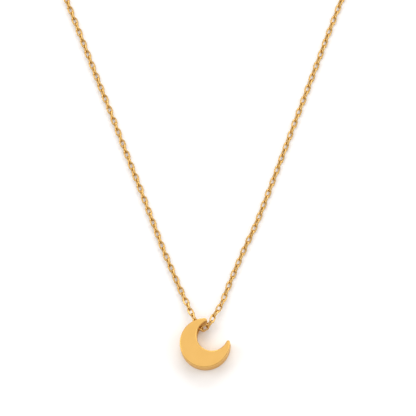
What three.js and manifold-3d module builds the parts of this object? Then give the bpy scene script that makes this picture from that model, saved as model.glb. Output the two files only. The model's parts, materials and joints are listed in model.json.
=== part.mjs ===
// Crescent slide pendant on a fine oval cable chain, laid out on a flat surface.
// Millimetres, +Z up. The necklace lies on the plane z = 0; +Y runs from the pendant to the clasp end.
// The origin is on the crescent's flat back, at the middle of its thickest section.

import * as THREE from 'three';
import { mergeVertices } from 'three/addons/utils/BufferGeometryUtils.js';
import Module from 'manifold-3d';

const wasm = await Module();
wasm.setup();

const RAD = Math.PI / 180;

// ---- Crescent pendant -------------------------------------------------------------------------
const CRESCENT_R = 5.0;          // outer circle
const BODY_W = 3.97;             // widest part of the crescent, opposite the bay
const BAY_ANGLE = 45 * RAD;      // direction in which the bay opens
const MOUTH_HALF = 44.5 * RAD;   // from that direction to either horn end
const HORN_TIP_R = 0.36;         // rounding of the two horn ends
const CRESCENT_T = 3.4;          // thickness, front face to back face
const EDGE_R = 0.2;              // polished rounding along both faces
const BORE_POLAR = 112.5 * RAD;  // where the hole enters the outer wall
const BORE_HEADING = -67.2 * RAD;  // direction of the hole, from the outer wall into the bay

// ---- Chain, as plain cords --------------------------------------------------------------------
const CHAIN_D = 1.1;             // height and width of the laid chain
const BORE_PLAY = 0.3;           // between the chain and the wall of the hole
const CORD_SIDES = 8;
const REST_GAP = 0.02;           // under a laid cord
const FACE_GAP = 0.3;            // between two solids that follow each other along the chain
const STEP = 3.0;                // length of one facet row along a strand
const BIGHT_STEP = 0.65;         // the same where the chain bends round the horn
const TAIL_STEP = 1.6;           // the same on the short tails
const BIGHT_INNER_R = 0.6;       // inside of the bend where the chain leaves the hole
const HORN_GAP = 0.3;            // between the chain and the horn that it bends round
const COIL_R = 6.43;             // at the middle of the turns
const COIL_TURNS = 2.308;
const COIL_PLAY = 0.05;          // between one turn and the next
const COIL_X = 24.1;
const COIL_Y = 83.0;
const COIL_ENTRY = 20.9 * RAD;   // how far a strand leans outwards where it meets its coil

// ---- Rings and extender links -----------------------------------------------------------------
const RING_R = 1.5;              // jump rings, to the middle of the wire
const RING_WIRE_R = 0.3;
const LINK_WIRE_R = 0.3;         // extender links
const LINK_BOW_R = 1.25;         // end bow of a link, to the middle of the wire
const LINK_STRAIGHT = 1.1;       // straight side of a link
const LINK_COUNT = 12;
const PLAY = 0.1;                // slack where two rings hang in each other
const LINK_ROLL = 45 * RAD;      // a laid link leans to one side, the next to the other

// ---- Lobster clasp ----------------------------------------------------------------------------
const CLASP_T = 2.0;             // thickness of the cast body
const CLASP_EDGE = 0.22;         // rounding of its edges
const EYE_R = 1.2;               // loop for the jump ring, to the middle of its wire
const EYE_WIRE_R = 0.38;
const HOOK_X = 6.3;              // centre of the hook, measured from the eye
const HOOK_Y = 0.1;
const HOOK_OUT = 2.6;
const HOOK_IN = 1.45;
const LEVER_T = 0.8;
const LEVER_PLAY = 0.1;          // each side of the lever in its slot
const PIVOT_X = 3.0;
const PIVOT_Y = -0.85;
const HUB_R = 0.7;               // lever around its pin
const PIN_R = 0.3;
const PIN_PLAY = 0.06;
const SPRING_T = 0.14;           // leaf of the lever's spring

// ---- End drop ---------------------------------------------------------------------------------
const DROP_R = 1.5;              // ball
const DROP_EYE_R = 1.1;
const DROP_EYE_WIRE_R = 0.3;
const DROP_PLAY = 0.2;           // slack of the eye on the last link

const BORE_R = CHAIN_D / 2 + BORE_PLAY;
const BIGHT_R = CHAIN_D / 2 + BIGHT_INNER_R;
const COIL_PITCH = CHAIN_D + COIL_PLAY;

const necklace = new THREE.Group();

const gold = new THREE.MeshStandardMaterial({ color: 0xf3c371, roughness: 0.34, metalness: 1 });
const chainGold = new THREE.MeshStandardMaterial({ color: 0xe9b862, roughness: 0.2, metalness: 1 });
const castGold = new THREE.MeshStandardMaterial({ color: 0xe6b25c, roughness: 0.28, metalness: 1 });
const pinSteel = new THREE.MeshStandardMaterial({ color: 0xb9b4aa, roughness: 0.3, metalness: 1 });
const springSteel = new THREE.MeshStandardMaterial({ color: 0x9a958c, roughness: 0.35, metalness: 1 });

// ---- Small helpers ----------------------------------------------------------------------------

function addMesh(parent, name, geometry, material) {
  const mesh = new THREE.Mesh(geometry, material.clone());
  mesh.name = name;
  parent.add(mesh);
  return mesh;
}

function toManifold(geometry) {
  const bare = geometry.clone();
  bare.deleteAttribute('normal');
  bare.deleteAttribute('uv');
  const merged = mergeVertices(bare, 1e-5);
  return new wasm.Manifold(new wasm.Mesh({
    numProp: 3,
    vertProperties: new Float32Array(merged.attributes.position.array),
    triVerts: new Uint32Array(merged.index.array),
  }));
}

function fromManifold(solid) {
  const mesh = solid.getMesh();
  const geometry = new THREE.BufferGeometry();
  geometry.setAttribute('position', new THREE.BufferAttribute(mesh.vertProperties, 3));
  geometry.setIndex(new THREE.BufferAttribute(mesh.triVerts, 1));
  return geometry;
}

function arcPoints(x, y, radius, start, end, count) {
  const points = [];
  for (let i = 0; i <= count; i += 1) {
    const angle = start + (end - start) * i / count;
    points.push(new THREE.Vector2(x + radius * Math.cos(angle), y + radius * Math.sin(angle)));
  }
  return points;
}

// A plate with rounded edges, its thickness centred on z = 0.
function roundedPlate(outline, thickness, edge, edgeSegments) {
  const geometry = new THREE.ExtrudeGeometry(new THREE.Shape(outline), {
    depth: thickness - 2 * edge,
    bevelEnabled: true,
    bevelSize: edge,
    bevelThickness: edge,
    bevelOffset: -edge,
    bevelSegments: edgeSegments,
  });
  geometry.translate(0, 0, -thickness / 2 + edge);
  return geometry;
}

// A flat plate with sharp edges, centred on z = 0.
function sharpPlate(outline, thickness) {
  const geometry = new THREE.ExtrudeGeometry(new THREE.Shape(outline), {
    depth: thickness,
    bevelEnabled: false,
  });
  geometry.translate(0, 0, -thickness / 2);
  return geometry;
}

// A plain round cord along a smooth curve through the given points.
function cordTube(points, step) {
  const route = new THREE.CatmullRomCurve3(points, false, 'centripetal');
  const section = new THREE.Shape(arcPoints(0, 0, CHAIN_D / 2, 0, 2 * Math.PI, CORD_SIDES).slice(1));
  return new THREE.ExtrudeGeometry(section, {
    steps: Math.max(2, Math.round(route.getLength() / step)),
    bevelEnabled: false,
    extrudePath: route,
  });
}

// A closed wire loop: a ring whose two halves are drawn apart along X by the straight length.
function wireLoop(bowRadius, wireRadius, straight, sections) {
  const geometry = new THREE.TorusGeometry(bowRadius, wireRadius, 8, sections);
  geometry.rotateZ(Math.PI / sections);
  const position = geometry.attributes.position;
  for (let i = 0; i < position.count; i += 1) {
    const x = position.getX(i);
    position.setX(i, x + Math.sign(x) * straight / 2);
  }
  return geometry;
}

// ---- The crescent -----------------------------------------------------------------------------

// A horn tip's circle touches the outer circle from inside and the bay's circle from outside. That and
// the body's width give the bay: its centre's offset from the outer circle's centre, and its radius.
const hornReach = CRESCENT_R - HORN_TIP_R;
const hornSlack = CRESCENT_R - BODY_W + HORN_TIP_R;
const BAY_OFFSET = (hornReach ** 2 - hornSlack ** 2) / (2 * (hornSlack + hornReach * Math.cos(MOUTH_HALF)));
const BAY_R = CRESCENT_R + BAY_OFFSET - BODY_W;
const bayCentre = new THREE.Vector2(Math.cos(BAY_ANGLE), Math.sin(BAY_ANGLE)).multiplyScalar(BAY_OFFSET);

function hornTip(side) {
  const angle = BAY_ANGLE + side * MOUTH_HALF;
  return new THREE.Vector2(Math.cos(angle), Math.sin(angle)).multiplyScalar(hornReach);
}

const upperTip = hornTip(1);
const lowerTip = hornTip(-1);
const boreMouth = new THREE.Vector2(Math.cos(BORE_POLAR), Math.sin(BORE_POLAR)).multiplyScalar(CRESCENT_R);
const boreDirection = new THREE.Vector2(Math.cos(BORE_HEADING), Math.sin(BORE_HEADING));

// The restPoint is the middle of the thickest section, opposite the bay.
const restRadius = CRESCENT_R - BODY_W / 2;
const restPoint = new THREE.Vector2(-Math.cos(BAY_ANGLE), -Math.sin(BAY_ANGLE)).multiplyScalar(restRadius);

function crescentOutline() {
  const start = BAY_ANGLE + MOUTH_HALF;
  const end = BAY_ANGLE - MOUTH_HALF + 2 * Math.PI;
  const bayAngleOf = (tip) => Math.atan2(tip.y - bayCentre.y, tip.x - bayCentre.x);
  const lower = bayAngleOf(lowerTip);
  const upper = bayAngleOf(upperTip);
  return [
    ...arcPoints(0, 0, CRESCENT_R, start, end, 56),
    ...arcPoints(lowerTip.x, lowerTip.y, HORN_TIP_R, end, lower + 3 * Math.PI, 6).slice(1),
    ...arcPoints(bayCentre.x, bayCentre.y, BAY_R, lower + 2 * Math.PI, upper, 40).slice(1),
    ...arcPoints(upperTip.x, upperTip.y, HORN_TIP_R, upper + Math.PI - 2 * Math.PI, start, 6).slice(1, -1),
  ];
}

// Where the middle of the hole comes out into the bay, measured along the hole from its mouth.
function boreLength() {
  const toBay = bayCentre.clone().sub(boreMouth);
  const along = toBay.dot(boreDirection);
  const aside = toBay.cross(boreDirection);
  return along - Math.sqrt(BAY_R ** 2 - aside ** 2);
}

const BORE_LENGTH = boreLength();
const midHeight = CRESCENT_T / 2;

function boreCutter() {
  const reach = BORE_LENGTH + BAY_R;
  const cutter = new THREE.CylinderGeometry(BORE_R, BORE_R, reach + CRESCENT_R, 24);
  cutter.translate(0, (reach - CRESCENT_R) / 2, 0);
  cutter.rotateZ(BORE_HEADING - Math.PI / 2);
  cutter.translate(boreMouth.x, boreMouth.y, 0);
  return cutter;
}

function buildCrescent() {
  const blank = roundedPlate(crescentOutline(), CRESCENT_T, EDGE_R, 2);
  const drilled = toManifold(blank).subtract(toManifold(boreCutter()));
  const mesh = addMesh(necklace, 'crescent_pendant', fromManifold(drilled), gold);
  mesh.position.z = midHeight;
}

// ---- The chain --------------------------------------------------------------------------------

const laid = CHAIN_D / 2 + REST_GAP;
const overCoil = CHAIN_D + FACE_GAP + CHAIN_D / 2;

// Points of the hole and bight are in the hole's own directions: along the hole, and aside from it.
const asideDirection = new THREE.Vector2(-boreDirection.y, boreDirection.x);

function borePoint(along, aside, height) {
  const point = boreMouth.clone();
  point.addScaledVector(boreDirection, along);
  point.addScaledVector(asideDirection, aside);
  return new THREE.Vector3(point.x, point.y, height);
}

function point(x, y, z = laid) {
  return new THREE.Vector3(x, y, z);
}

const coilHalfWidth = COIL_PITCH * COIL_TURNS / 2;

// Where a strand stops short of its coil, on the line that touches the outer turn.
function coilEntry(side) {
  const turn = COIL_R + coilHalfWidth;
  const clear = turn + CHAIN_D / 2 + FACE_GAP;
  const before = Math.sqrt(clear ** 2 - (turn - CHAIN_D / 2) ** 2);
  const x = COIL_X + turn * Math.cos(COIL_ENTRY) - before * Math.sin(COIL_ENTRY);
  const y = COIL_Y - turn * Math.sin(COIL_ENTRY) - before * Math.cos(COIL_ENTRY);
  return point(side * x, y);
}

// From the left coil down to the middle of the hole.
const strandLeftRoute = [
  coilEntry(-1), point(-28.6, 72.9), point(-26.4, 67.2), point(-24.1, 61.3), point(-21.8, 55.4),
  point(-19.5, 49.4), point(-17.3, 43.5), point(-15.0, 37.5), point(-12.7, 31.5), point(-10.5, 25.6),
  point(-8.3, 19.8), point(-6.2, 14.6), point(-5.0, 11.6), point(-4.0, 9.2, laid + 0.25),
  point(-3.05, 7.0, laid + 0.75),
  borePoint(-0.6, 0, midHeight - 0.05),
  borePoint(BORE_LENGTH / 2 - FACE_GAP / 2, 0, midHeight),
];

// Through the hole, round the upper horn and off to the right.
const bendStart = BORE_LENGTH - BIGHT_R + 0.27;
const bightFoot = bendStart + BIGHT_R;

// A place beside the upper horn's tip, clear of it by the chain's own radius, the gap and some more.
function roundHorn(degrees, more, height) {
  const reach = HORN_TIP_R + HORN_GAP + CHAIN_D / 2 + more;
  const x = upperTip.x + reach * Math.cos(degrees * RAD);
  const y = upperTip.y + reach * Math.sin(degrees * RAD);
  return point(x, y, height);
}

const bightRoute = [
  borePoint(BORE_LENGTH / 2 + FACE_GAP / 2, 0, midHeight),
  borePoint(bendStart, 0.02, midHeight),
  borePoint(bendStart + BIGHT_R * 0.5, BIGHT_R * 0.134, midHeight),
  borePoint(bendStart + BIGHT_R * 0.866, BIGHT_R * 0.5, midHeight),
  borePoint(bightFoot, BIGHT_R, midHeight),
  roundHorn(-71, 0.02, midHeight), roundHorn(-47, 0.05, midHeight), roundHorn(0, 0.2, midHeight - 0.1),
  roundHorn(36, 1.1, midHeight - 0.3),
];

// From the bight up to the right coil.
const strandRightRoute = [
  roundHorn(41, 1.37, midHeight - 0.35), point(3.2, 8.3, laid + 0.5), point(4.2, 10.8, laid + 0.15),
  point(5.6, 14.3), point(7.6, 19.4), point(10.0, 24.8), point(12.2, 30.4), point(14.5, 36.4),
  point(16.7, 42.4), point(18.9, 48.4), point(21.1, 54.4), point(23.3, 60.4), point(25.5, 66.4),
  point(27.8, 72.4), coilEntry(1),
];

// From the top of a coil's inner turn across its other turns and down to the ring; side is -1 at the left.
function tailRoute(side, last) {
  const exitY = COIL_Y + COIL_R - coilHalfWidth;
  const exitX = COIL_X - 0.6;
  return [
    point(side * exitX, exitY, overCoil), point(side * (exitX - 3), exitY, overCoil),
    point(side * (exitX - 6.2), exitY, overCoil - 0.05), point(side * (exitX - 7.9), exitY, laid + 0.85),
    point(side * (exitX - 9.5), exitY - 0.05, laid + 0.15), ...last,
  ];
}

const tailLeftEnd = point(-11.7, 86.5);
const tailRightEnd = point(12.9, 88.1);

function buildCoil(name, side) {
  const half = coilHalfWidth + CHAIN_D / 2;
  const corner = 0.3;
  const inner = COIL_R - half;
  const outer = COIL_R + half;
  const profile = [
    [inner + corner, 0], [outer - corner, 0], [outer, corner], [outer, CHAIN_D - corner],
    [outer - corner, CHAIN_D], [inner + corner, CHAIN_D], [inner, CHAIN_D - corner], [inner, corner],
    [inner + corner, 0],
  ].map(([radius, height]) => new THREE.Vector2(radius, height));
  const geometry = new THREE.LatheGeometry(profile, 48);
  geometry.rotateX(Math.PI / 2);
  const mesh = addMesh(necklace, name, geometry, chainGold);
  mesh.position.set(side * COIL_X, COIL_Y, 0);
}

function buildChain() {
  addMesh(necklace, 'chain_strand_left', cordTube(strandLeftRoute, STEP), chainGold);
  addMesh(necklace, 'chain_bight', cordTube(bightRoute, BIGHT_STEP), chainGold);
  addMesh(necklace, 'chain_strand_right', cordTube(strandRightRoute, STEP), chainGold);
  buildCoil('chain_coil_left', -1);
  buildCoil('chain_coil_right', 1);
  const tailLeft = tailRoute(-1, [point(-12.8, 87.3), tailLeftEnd]);
  const tailRight = tailRoute(1, [tailRightEnd]);
  addMesh(necklace, 'chain_tail_left', cordTube(tailLeft, TAIL_STEP), chainGold);
  addMesh(necklace, 'chain_tail_right', cordTube(tailRight, TAIL_STEP), chainGold);
}

// ---- Rings and links --------------------------------------------------------------------------

// A loop laid at a place, turned to a heading and rolled about its own length.
function placeLoop(name, geometry, material, x, y, z, heading, roll) {
  const turned = new THREE.Group();
  turned.position.set(x, y, z);
  turned.rotation.z = heading;
  const rolled = new THREE.Group();
  rolled.rotation.x = roll;
  turned.add(rolled);
  addMesh(rolled, name, geometry, material);
  necklace.add(turned);
}

function restHeight(bowRadius, wireRadius, roll) {
  return bowRadius * Math.abs(Math.sin(roll)) + wireRadius;
}

const linkHeight = restHeight(LINK_BOW_R, LINK_WIRE_R, LINK_ROLL);
const linkPitch = 2 * (LINK_BOW_R - LINK_WIRE_R) + LINK_STRAIGHT - PLAY;

// Headings of the extender links, from the end ring to the drop.
function linkHeading(index) {
  const sway = 9 * Math.sin(index / LINK_COUNT * 2 * Math.PI);
  return (150 + sway) * RAD;
}

const END_RING_ROLL = -LINK_ROLL;
const ringStand = FACE_GAP + RING_WIRE_R + RING_R;
const endRingHeading = linkHeading(0);
const endRingX = tailRightEnd.x + Math.cos(endRingHeading) * ringStand;
const endRingY = tailRightEnd.y + Math.sin(endRingHeading) * ringStand;

function buildEndRing() {
  const ring = wireLoop(RING_R, RING_WIRE_R, 0, 20);
  const height = restHeight(RING_R, RING_WIRE_R, END_RING_ROLL);
  placeLoop('end_jump_ring', ring, gold, endRingX, endRingY, height, endRingHeading, END_RING_ROLL);
}

// Places every link so that it hangs in the one before; returns the far end of the last link.
function buildExtender() {
  let reach = RING_R - RING_WIRE_R - PLAY / 2;
  let x = endRingX;
  let y = endRingY;
  let heading = endRingHeading;
  for (let i = 0; i < LINK_COUNT; i += 1) {
    heading = linkHeading(i);
    const half = LINK_STRAIGHT / 2 + LINK_BOW_R - LINK_WIRE_R - PLAY / 2;
    const pivotX = x + Math.cos(heading) * reach;
    const pivotY = y + Math.sin(heading) * reach;
    x = pivotX + Math.cos(heading) * half;
    y = pivotY + Math.sin(heading) * half;
    const roll = i % 2 === 0 ? LINK_ROLL : -LINK_ROLL;
    const loop = wireLoop(LINK_BOW_R, LINK_WIRE_R, LINK_STRAIGHT, 16);
    placeLoop(`extender_link_${i + 1}`, loop, gold, x, y, linkHeight, heading, roll);
    reach = half;
  }
  return { x, y, heading, reach };
}

function buildDrop(last) {
  const heading = last.heading;
  const eyeReach = DROP_EYE_R - DROP_EYE_WIRE_R - DROP_PLAY;
  const eyeX = last.x + Math.cos(heading) * (last.reach + eyeReach);
  const eyeY = last.y + Math.sin(heading) * (last.reach + eyeReach);
  const eye = toManifold(wireLoop(DROP_EYE_R, DROP_EYE_WIRE_R, 0, 16));
  const ball = new THREE.SphereGeometry(DROP_R, 24, 16);
  ball.translate(DROP_EYE_R + DROP_R - 0.1, 0, 0);
  const drop = fromManifold(eye.add(toManifold(ball)));
  const roll = LINK_COUNT % 2 === 0 ? LINK_ROLL : -LINK_ROLL;
  placeLoop('end_drop', drop, gold, eyeX, eyeY, DROP_R, heading, roll);
}

// ---- Lobster clasp ----------------------------------------------------------------------------

const CLASP_RING_ROLL = 90 * RAD;
const claspRingHeading = -38 * RAD;
const claspHeading = -46 * RAD;
const claspRingX = tailLeftEnd.x + Math.cos(claspRingHeading) * ringStand;
const claspRingY = tailLeftEnd.y + Math.sin(claspRingHeading) * ringStand;
const claspRingZ = restHeight(RING_R, RING_WIRE_R, CLASP_RING_ROLL);

// The upright ring passes down through the eye's hole at the height of the clasp's middle.
const ringAtEye = Math.sqrt(RING_R ** 2 - (claspRingZ - CLASP_T / 2) ** 2);
const claspReach = ringAtEye + PLAY / 2;
const claspX = claspRingX + Math.cos(claspHeading) * claspReach;
const claspY = claspRingY + Math.sin(claspHeading) * claspReach;

const onHook = (radius, degrees) => new THREE.Vector2(
  HOOK_X + radius * Math.cos(degrees * RAD),
  HOOK_Y + radius * Math.sin(degrees * RAD),
);

// The cast body seen from above: a shield behind, then the hook that runs round to its tip.
function claspOutline() {
  const tipAngle = -102;
  const tipRadius = (HOOK_OUT - HOOK_IN) / 2;
  const tip = onHook(HOOK_OUT - tipRadius, tipAngle);
  return [
    new THREE.Vector2(EYE_R, -0.75),
    new THREE.Vector2(1.9, -1.35),
    new THREE.Vector2(2.6, -1.85),
    new THREE.Vector2(3.5, -1.95),
    new THREE.Vector2(4.2, -1.45),
    new THREE.Vector2(4.55, -0.6),
    ...arcPoints(HOOK_X, HOOK_Y, HOOK_IN, 160 * RAD, tipAngle * RAD, 28),
    ...arcPoints(tip.x, tip.y, tipRadius, (tipAngle + 180) * RAD, (tipAngle + 360) * RAD, 6).slice(1),
    ...arcPoints(HOOK_X, HOOK_Y, HOOK_OUT, tipAngle * RAD, 125 * RAD, 30).slice(1),
    new THREE.Vector2(3.6, 1.95),
    new THREE.Vector2(2.5, 1.6),
    new THREE.Vector2(1.8, 1.1),
    new THREE.Vector2(EYE_R, 0.75),
  ];
}

function leverOutline() {
  const gateIn = HOOK_IN + 0.12;
  const gateOut = HOOK_OUT - 0.2;
  const gateEnd = -124;
  return [
    ...arcPoints(PIVOT_X, PIVOT_Y, HUB_R, 30 * RAD, 215 * RAD, 8),
    new THREE.Vector2(PIVOT_X - 0.45, PIVOT_Y - 1.25),
    new THREE.Vector2(PIVOT_X - 0.1, PIVOT_Y - 2.1),
    new THREE.Vector2(PIVOT_X + 0.45, PIVOT_Y - 2.2),
    new THREE.Vector2(PIVOT_X + 0.75, PIVOT_Y - 1.6),
    new THREE.Vector2(PIVOT_X + 1.05, PIVOT_Y - 1.3),
    ...arcPoints(HOOK_X, HOOK_Y, gateOut, -148 * RAD, gateEnd * RAD, 5),
    ...arcPoints(HOOK_X, HOOK_Y, gateIn, gateEnd * RAD, -160 * RAD, 7),
  ];
}

function cylinderAt(x, y, radius, height, sides) {
  const geometry = new THREE.CylinderGeometry(radius, radius, height, sides);
  geometry.rotateX(Math.PI / 2);
  geometry.translate(x, y, 0);
  return geometry;
}

// The slot runs from above the spine out through the lever's side of the body.
const SLOT_BACK = 1.75;
const SLOT_FRONT = HOOK_X - HOOK_IN;
const SLOT_FLOOR = 0.45;
const SLOT_OUT = -3.5;

function claspSlot() {
  const outline = [
    new THREE.Vector2(SLOT_BACK, SLOT_OUT),
    new THREE.Vector2(SLOT_FRONT + 0.6, SLOT_OUT),
    new THREE.Vector2(SLOT_FRONT + 0.6, SLOT_FLOOR),
    new THREE.Vector2(SLOT_BACK, SLOT_FLOOR),
  ];
  return sharpPlate(outline, LEVER_T + 2 * LEVER_PLAY);
}

function claspBody() {
  const plate = toManifold(roundedPlate(claspOutline(), CLASP_T, CLASP_EDGE, 2));
  const eye = toManifold(new THREE.TorusGeometry(EYE_R, EYE_WIRE_R, 10, 20));
  const pinHole = toManifold(cylinderAt(PIVOT_X, PIVOT_Y, PIN_R + PIN_PLAY, CLASP_T * 2, 16));
  const eyeHole = toManifold(cylinderAt(0, 0, EYE_R - EYE_WIRE_R, CLASP_T * 2, 20));
  return fromManifold(plate.add(eye).subtract(eyeHole).subtract(toManifold(claspSlot())).subtract(pinHole));
}

function claspLever() {
  const blank = toManifold(roundedPlate(leverOutline(), LEVER_T, 0.12, 1));
  const pinHole = toManifold(cylinderAt(PIVOT_X, PIVOT_Y, PIN_R + PIN_PLAY, CLASP_T, 16));
  return fromManifold(blank.subtract(pinHole));
}

// A leaf folded back on itself, between the slot's floor and the lever's hub.
function springOutline() {
  const floor = SLOT_FLOOR - 0.06;
  const left = PIVOT_X - 0.9;
  const right = PIVOT_X + 0.75;
  const lift = -0.26;
  return [
    new THREE.Vector2(left, floor),
    new THREE.Vector2(left, floor - SPRING_T),
    new THREE.Vector2(right - 0.2, floor - SPRING_T),
    new THREE.Vector2(left + 0.25, floor + lift - SPRING_T / 2),
    new THREE.Vector2(left + 0.25, floor + lift - 1.4 * SPRING_T),
    new THREE.Vector2(right, floor - SPRING_T * 0.8),
    new THREE.Vector2(right, floor),
  ];
}

function buildClasp() {
  const clasp = new THREE.Group();
  clasp.position.set(claspX, claspY, CLASP_T / 2);
  clasp.rotation.z = claspHeading;
  addMesh(clasp, 'clasp_body', claspBody(), castGold);
  addMesh(clasp, 'clasp_lever', claspLever(), castGold);
  const pin = cylinderAt(PIVOT_X, PIVOT_Y, PIN_R, CLASP_T - 0.1, 16);
  addMesh(clasp, 'clasp_pin', pin, pinSteel);
  addMesh(clasp, 'clasp_spring', sharpPlate(springOutline(), LEVER_T - 0.2), springSteel);
  necklace.add(clasp);
  const ring = wireLoop(RING_R, RING_WIRE_R, 0, 20);
  placeLoop('clasp_jump_ring', ring, gold, claspRingX, claspRingY, claspRingZ, claspRingHeading,
    CLASP_RING_ROLL);
}

// ---- Assembly ---------------------------------------------------------------------------------

buildCrescent();
buildChain();
buildClasp();
buildEndRing();
buildDrop(buildExtender());
necklace.position.set(-restPoint.x, -restPoint.y, 0);
necklace.updateMatrixWorld(true);

export default necklace;
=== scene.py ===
"""Crescent slide pendant on a fine oval cable chain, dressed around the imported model.

Blender works in metres; a value whose name ends in _mm is in millimetres. The necklace lies on the
plane z = 0 with the pendant's back on it, and +Y runs from the pendant towards the clasp end.
"""
import json
import logging
import math
from dataclasses import dataclass, field
from enum import Enum

import bmesh
import bpy
import numpy as np
from mathutils import Matrix, Vector


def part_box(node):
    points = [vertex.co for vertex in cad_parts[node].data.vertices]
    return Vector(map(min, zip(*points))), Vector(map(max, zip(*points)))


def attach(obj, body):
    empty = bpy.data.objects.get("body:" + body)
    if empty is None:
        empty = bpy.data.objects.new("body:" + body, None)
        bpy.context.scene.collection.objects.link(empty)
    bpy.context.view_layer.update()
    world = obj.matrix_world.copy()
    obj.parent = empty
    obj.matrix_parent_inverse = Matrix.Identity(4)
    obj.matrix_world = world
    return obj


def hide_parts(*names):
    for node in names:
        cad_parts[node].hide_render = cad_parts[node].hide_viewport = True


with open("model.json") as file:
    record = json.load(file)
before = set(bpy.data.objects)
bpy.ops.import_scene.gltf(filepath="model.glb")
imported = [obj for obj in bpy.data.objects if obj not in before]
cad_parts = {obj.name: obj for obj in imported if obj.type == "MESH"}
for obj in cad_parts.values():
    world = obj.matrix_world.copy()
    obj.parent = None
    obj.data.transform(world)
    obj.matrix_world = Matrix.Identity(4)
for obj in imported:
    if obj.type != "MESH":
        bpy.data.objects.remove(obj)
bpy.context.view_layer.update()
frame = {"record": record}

LOG = logging.getLogger("necklace")

MM = 0.001
TURN = 2 * math.pi
SEED = 7
NOISE_SPAN = (0.3, 0.7)

Array = np.ndarray


# ---- Numbers and curves ---------------------------------------------------------------------------


def unit(vectors: Array) -> Array:
    """Each vector divided by its own length."""
    return vectors / np.linalg.norm(vectors, axis=-1, keepdims=True)


def polar(radius: Array | float, angle: Array | float) -> Array:
    """The point at a radius and an angle: radius times (cosine, sine)."""
    return np.stack([radius * np.cos(angle), radius * np.sin(angle)], axis=-1)


def smooth_route(knots: Array, per_span: int = 10) -> Array:
    """A centripetal Catmull-Rom curve through the knots.

    Each span is a cubic whose end slopes come from the neighbouring knots, with the knots spaced by
    the square root of their distance.

    Args:
        knots: the points that the curve goes through, one a row.
        per_span: how many points each span gets.

    Returns:
        The points of the curve, one a row.
    """
    first, last = 2 * knots[0] - knots[1], 2 * knots[-1] - knots[-2]
    every = np.vstack([first, knots, last])
    p0, p1, p2, p3 = every[:-3], every[1:-2], every[2:-1], every[3:]
    gap = np.sqrt(np.linalg.norm(np.diff(every, axis=0), axis=1))[:, None]
    d0, d1, d2 = gap[:-2], gap[1:-1], gap[2:]
    start = ((p1 - p0) / d0 - (p2 - p0) / (d0 + d1) + (p2 - p1) / d1) * d1
    end = ((p2 - p1) / d1 - (p3 - p1) / (d1 + d2) + (p3 - p2) / d2) * d1
    t = np.linspace(0, 1, per_span, endpoint=False)[None, :, None]
    square = 3 * (p2 - p1) - 2 * start - end
    cube = 2 * (p1 - p2) + start + end
    curve = p1[:, None] + start[:, None] * t + square[:, None] * t**2 + cube[:, None] * t**3
    return np.vstack([curve.reshape(-1, knots.shape[1]), knots[-1:]])


def equal_chords(route: Array, chord: float, count: int) -> Array:
    """Walks along a route in straight steps of one length, as stiff links do.

    Each step goes to the point of the route that is one chord from the last point, found where the
    distance to the route first grows past the chord.

    Args:
        route: the points of the route, close together.
        chord: the length of each step.
        count: the number of steps.

    Returns:
        The count + 1 points; past the route's end they go straight on.
    """
    onward = unit(route[-1] - route[-4])
    route = np.vstack([route, route[-1] + onward * chord * 4])
    here, at, joints = route[0], 0, [route[0]]
    for _ in range(count):
        away = np.linalg.norm(route[at:] - here, axis=1)
        step = max(1, int(np.argmax(away >= chord)))
        a, b = route[at + step - 1], route[at + step]
        along, back = b - a, a - here
        qa, qb, qc = along @ along, 2 * back @ along, back @ back - chord**2
        share = (-qb + math.sqrt(max(qb * qb - 4 * qa * qc, 0))) / (2 * qa)
        here, at = a + along * share, at + step - 1
        joints.append(here)
    return np.array(joints)


def fit_chord(route: Array, chord: float, count: int) -> tuple[Array, float]:
    """Equal chords whose length is trimmed until the last one ends at the route's end.

    Args:
        route: the points of the route.
        chord: the wanted length of a step.
        count: the number of steps.

    Returns:
        The points, and the length of a step.
    """
    for _ in range(8):
        joints = equal_chords(route, chord, count)
        over = (joints[-1] - route[-1]) @ unit(route[-1] - route[-4])
        chord -= over / count
    return joints, chord


def box_corners(node_name: str) -> tuple[Array, Array]:
    """The lowest and highest corners of a CAD node's box."""
    low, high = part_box(node_name)
    return np.array(low), np.array(high)


def middle_of(node_name: str) -> Array:
    """The middle of a CAD node's box."""
    low, high = box_corners(node_name)
    return (low + high) / 2


def hinge_of(joint_name: str) -> dict:
    """A joint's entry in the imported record."""
    return next(j for j in frame["record"]["behaviour"]["joints"] if j["name"] == joint_name)


# ---- Meshes ---------------------------------------------------------------------------------------


def grid_quads(rows: int, columns: int, wrap_rows: bool, wrap_columns: bool) -> Array:
    """The four corners of each cell of a grid of points numbered row by row.

    Args:
        rows: number of rows of points.
        columns: number of points in a row.
        wrap_rows: whether the last row joins the first.
        wrap_columns: whether a row's last point joins its first.

    Returns:
        One row of four point numbers for each cell.
    """
    r = np.arange(rows if wrap_rows else rows - 1)[:, None]
    c = np.arange(columns if wrap_columns else columns - 1)[None, :]
    r2, c2 = (r + 1) % rows, (c + 1) % columns
    cells = [r * columns + c, r * columns + c2, r2 * columns + c2, r2 * columns + c]
    return np.stack(np.broadcast_arrays(*cells), axis=-1).reshape(-1, 4)


def wire_rings(path: Array, side: Array, lift: Array, radius: float, sides: int) -> Array:
    """Circles carried along a path: path + radius times (cosine of side + sine of lift).

    Args:
        path: centres, one a row.
        side: unit vectors across the path.
        lift: unit vectors square to the path and to side.
        radius: the wire's radius.
        sides: points in each circle.

    Returns:
        An array of shape (len(path), sides, 3).
    """
    turn = np.arange(sides) * TURN / sides
    wheel = np.cos(turn)[None, :, None] * side[:, None] + np.sin(turn)[None, :, None] * lift[:, None]
    return path[:, None] + radius * wheel


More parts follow.
